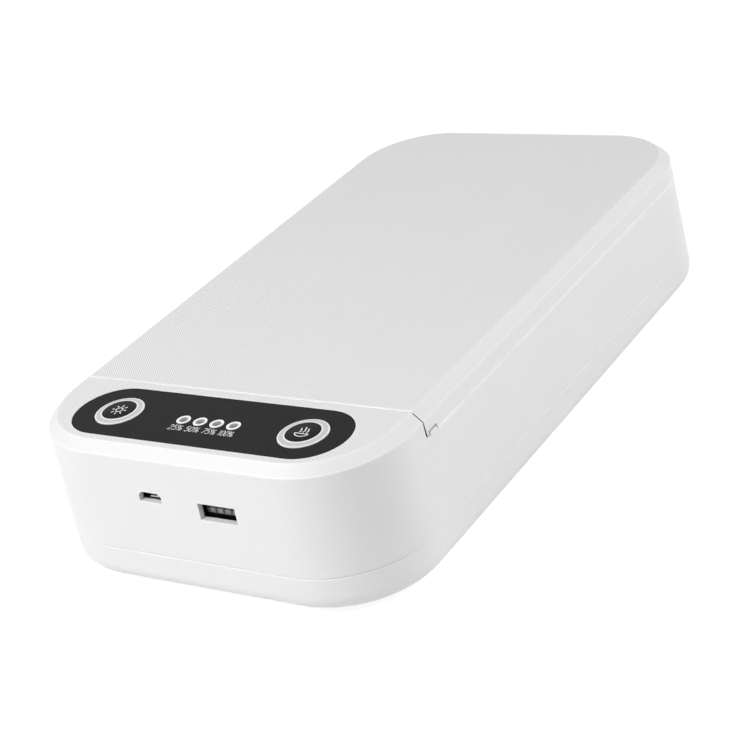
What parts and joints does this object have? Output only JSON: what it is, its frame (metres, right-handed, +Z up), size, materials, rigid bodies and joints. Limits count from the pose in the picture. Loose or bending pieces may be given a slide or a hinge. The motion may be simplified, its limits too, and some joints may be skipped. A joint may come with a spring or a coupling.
{
  "type": "uv sanitizer box",
  "caption": "Flared white box for a phone, with a hinged lid that holds ultraviolet tubes, a deck with a dark oval panel, round buttons and lights, and charging sockets in front.",
  "frame": {"origin": "centre of the bounding box in plan, on the surface that the feet stand on", "axes": "+X across to the right as seen from the front, +Y from the deck and sockets to the hinge, +Z up"},
  "size_m": [0.117, 0.215, 0.0459],
  "materials": {
    "white_plastic": "fine satin texture",
    "tray_plastic": "satin",
    "panel_plastic": "smooth",
    "ring_plastic": "smooth",
    "light_ring": "smooth",
    "lens": "frosted",
    "lamp": "clear resin",
    "black_plastic": "moulded",
    "board": "solder mask",
    "steel": "plated",
    "magnet": "nickel plated",
    "sheet": "bright",
    "tube": "quartz glass",
    "rubber": "matt",
    "silicone": "matt",
    "cable": "matt",
    "felt": "felt",
    "ceramic": "ceramic disc",
    "coil": "taped winding"
  },
  "bodies": {
    "case": {"main_housing": "white_plastic", "bottom_cover": "white_plastic", "chamber_tray": "tray_plastic", "rim_magnets": "magnet", "tube_cable": "cable", "base_wiring": "cable", "control_panel": "panel_plastic", "sterilize_switch": "black_plastic", "scent_switch": "black_plastic", "light_rings": "light_ring", "lens_25": "lens", "lens_50": "lens", "lens_75": "lens", "lens_100": "lens", "led_25": "lamp", "led_50": "lamp", "led_75": "lamp", "led_100": "lamp", "main_board": "board", "board_screws": "steel", "lid_sensor": "black_plastic", "usb_a_shell": "steel", "usb_a_tongue": "black_plastic", "micro_usb_shell": "steel", "micro_usb_tongue": "black_plastic", "driver_board": "board", "transformer": "coil", "driver_screws": "steel", "scent_cup": "tray_plastic", "scent_pad": "felt", "scent_grille": "tray_plastic", "scent_heater": "ceramic", "cover_screws": "steel", "foot_front_left": "rubber", "foot_front_right": "rubber", "foot_rear_left": "rubber", "foot_rear_right": "rubber"},
    "lid": {"lid_shell": "white_plastic", "lid_plate": "tray_plastic", "uv_tube_left": "tube", "uv_tube_right": "tube", "reflector_left": "sheet", "reflector_right": "sheet", "tube_holder_front_left": "silicone", "tube_holder_front_right": "silicone", "tube_holder_rear_left": "silicone", "tube_holder_rear_right": "silicone", "lid_screws": "steel", "lid_magnets": "magnet", "hinge_pin_left": "steel", "hinge_pin_right": "steel", "lid_wiring": "cable"},
    "sterilize_key": {"sterilize_button": "ring_plastic", "sterilize_disc": "panel_plastic", "sterilize_plunger": "black_plastic"},
    "scent_key": {"scent_button": "ring_plastic", "scent_disc": "panel_plastic", "scent_plunger": "black_plastic"}
  },
  "joints": [
    {"name": "lid_hinge", "type": "hinge", "parent": "case", "child": "lid", "pos_m": [0, 0.10357, 0.04065], "axis": [-1, 0, 0], "range_deg": [0, 95]},
    {"name": "sterilize_press", "type": "slide", "parent": "case", "child": "sterilize_key", "axis": [0, 0, -1], "range_m": [0, 0.0005], "stiffness_N_per_m": 1500, "springref_m": -0.0003},
    {"name": "scent_press", "type": "slide", "parent": "case", "child": "scent_key", "axis": [0, 0, -1], "range_m": [0, 0.0005], "stiffness_N_per_m": 1500, "springref_m": -0.0003}
  ]
}
